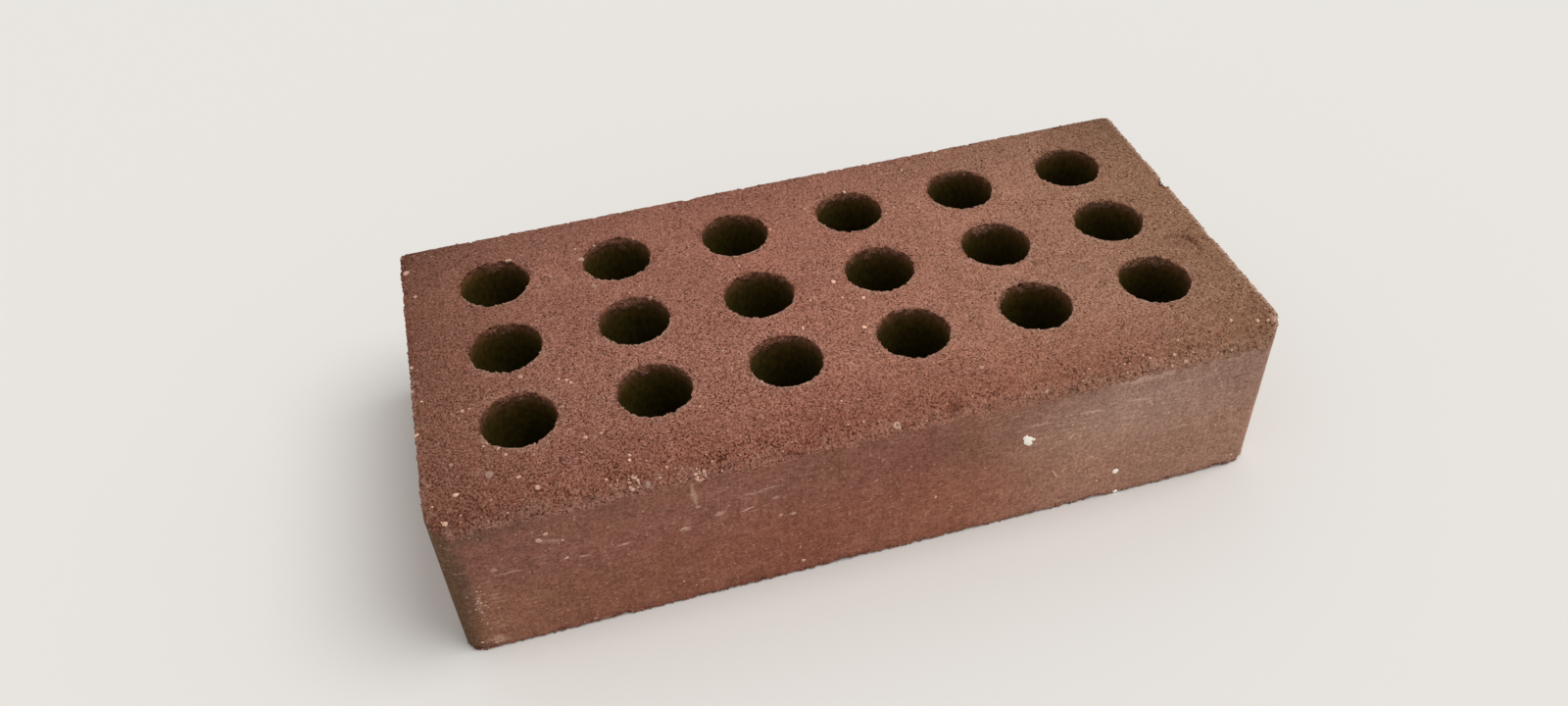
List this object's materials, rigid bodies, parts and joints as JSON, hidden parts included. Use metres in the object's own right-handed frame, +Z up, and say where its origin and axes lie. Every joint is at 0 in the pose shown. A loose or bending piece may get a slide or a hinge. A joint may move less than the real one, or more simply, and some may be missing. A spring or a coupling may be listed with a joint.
{
  "type": "perforated clay facing brick",
  "caption": "Red-brown fired clay facing brick with rows of round perforations from bed to bed, rounded fair-face corners and a rolled-over upper front edge.",
  "frame": {"origin": "middle of the lower bed, on the level surface that the brick lies on", "axes": "+X along the brick's length, +Y from the fair face to the back, +Z up from the lower bed to the upper bed"},
  "size_m": [0.24, 0.114, 0.055],
  "materials": {
    "fired_clay": "matt, sandy wire-cut beds and smooth extruded faces"
  },
  "bodies": {
    "root": {"fired_clay_brick": "fired_clay"}
  },
  "joints": []
}
